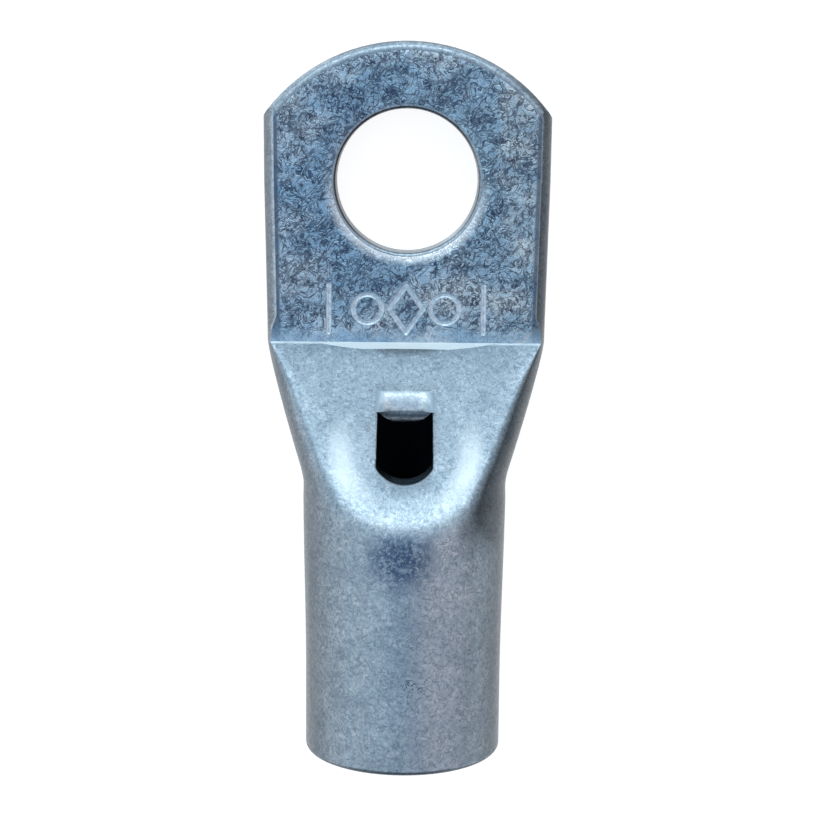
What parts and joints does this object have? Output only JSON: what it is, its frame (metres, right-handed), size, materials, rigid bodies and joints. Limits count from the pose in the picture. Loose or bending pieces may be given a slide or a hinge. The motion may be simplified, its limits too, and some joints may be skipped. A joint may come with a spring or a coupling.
{
  "type": "compression cable lug",
  "caption": "Tubular compression lug: a plated copper tube with a cable barrel, a sight window in its ramp and a flat palm with a stud hole.",
  "frame": {"origin": "centre of the stud hole on the underside of the palm", "axes": "+Z is the palm's upward normal along the stud, +Y runs from the barrel towards the rounded tip of the palm, and +X completes the right-handed frame across the palm"},
  "size_m": [0.0212, 0.0516, 0.0143],
  "materials": {
    "tin_plated_copper": "satin electroplated tin over copper, with handling scratches"
  },
  "bodies": {
    "root": {"lug_body": "tin_plated_copper"}
  },
  "joints": []
}
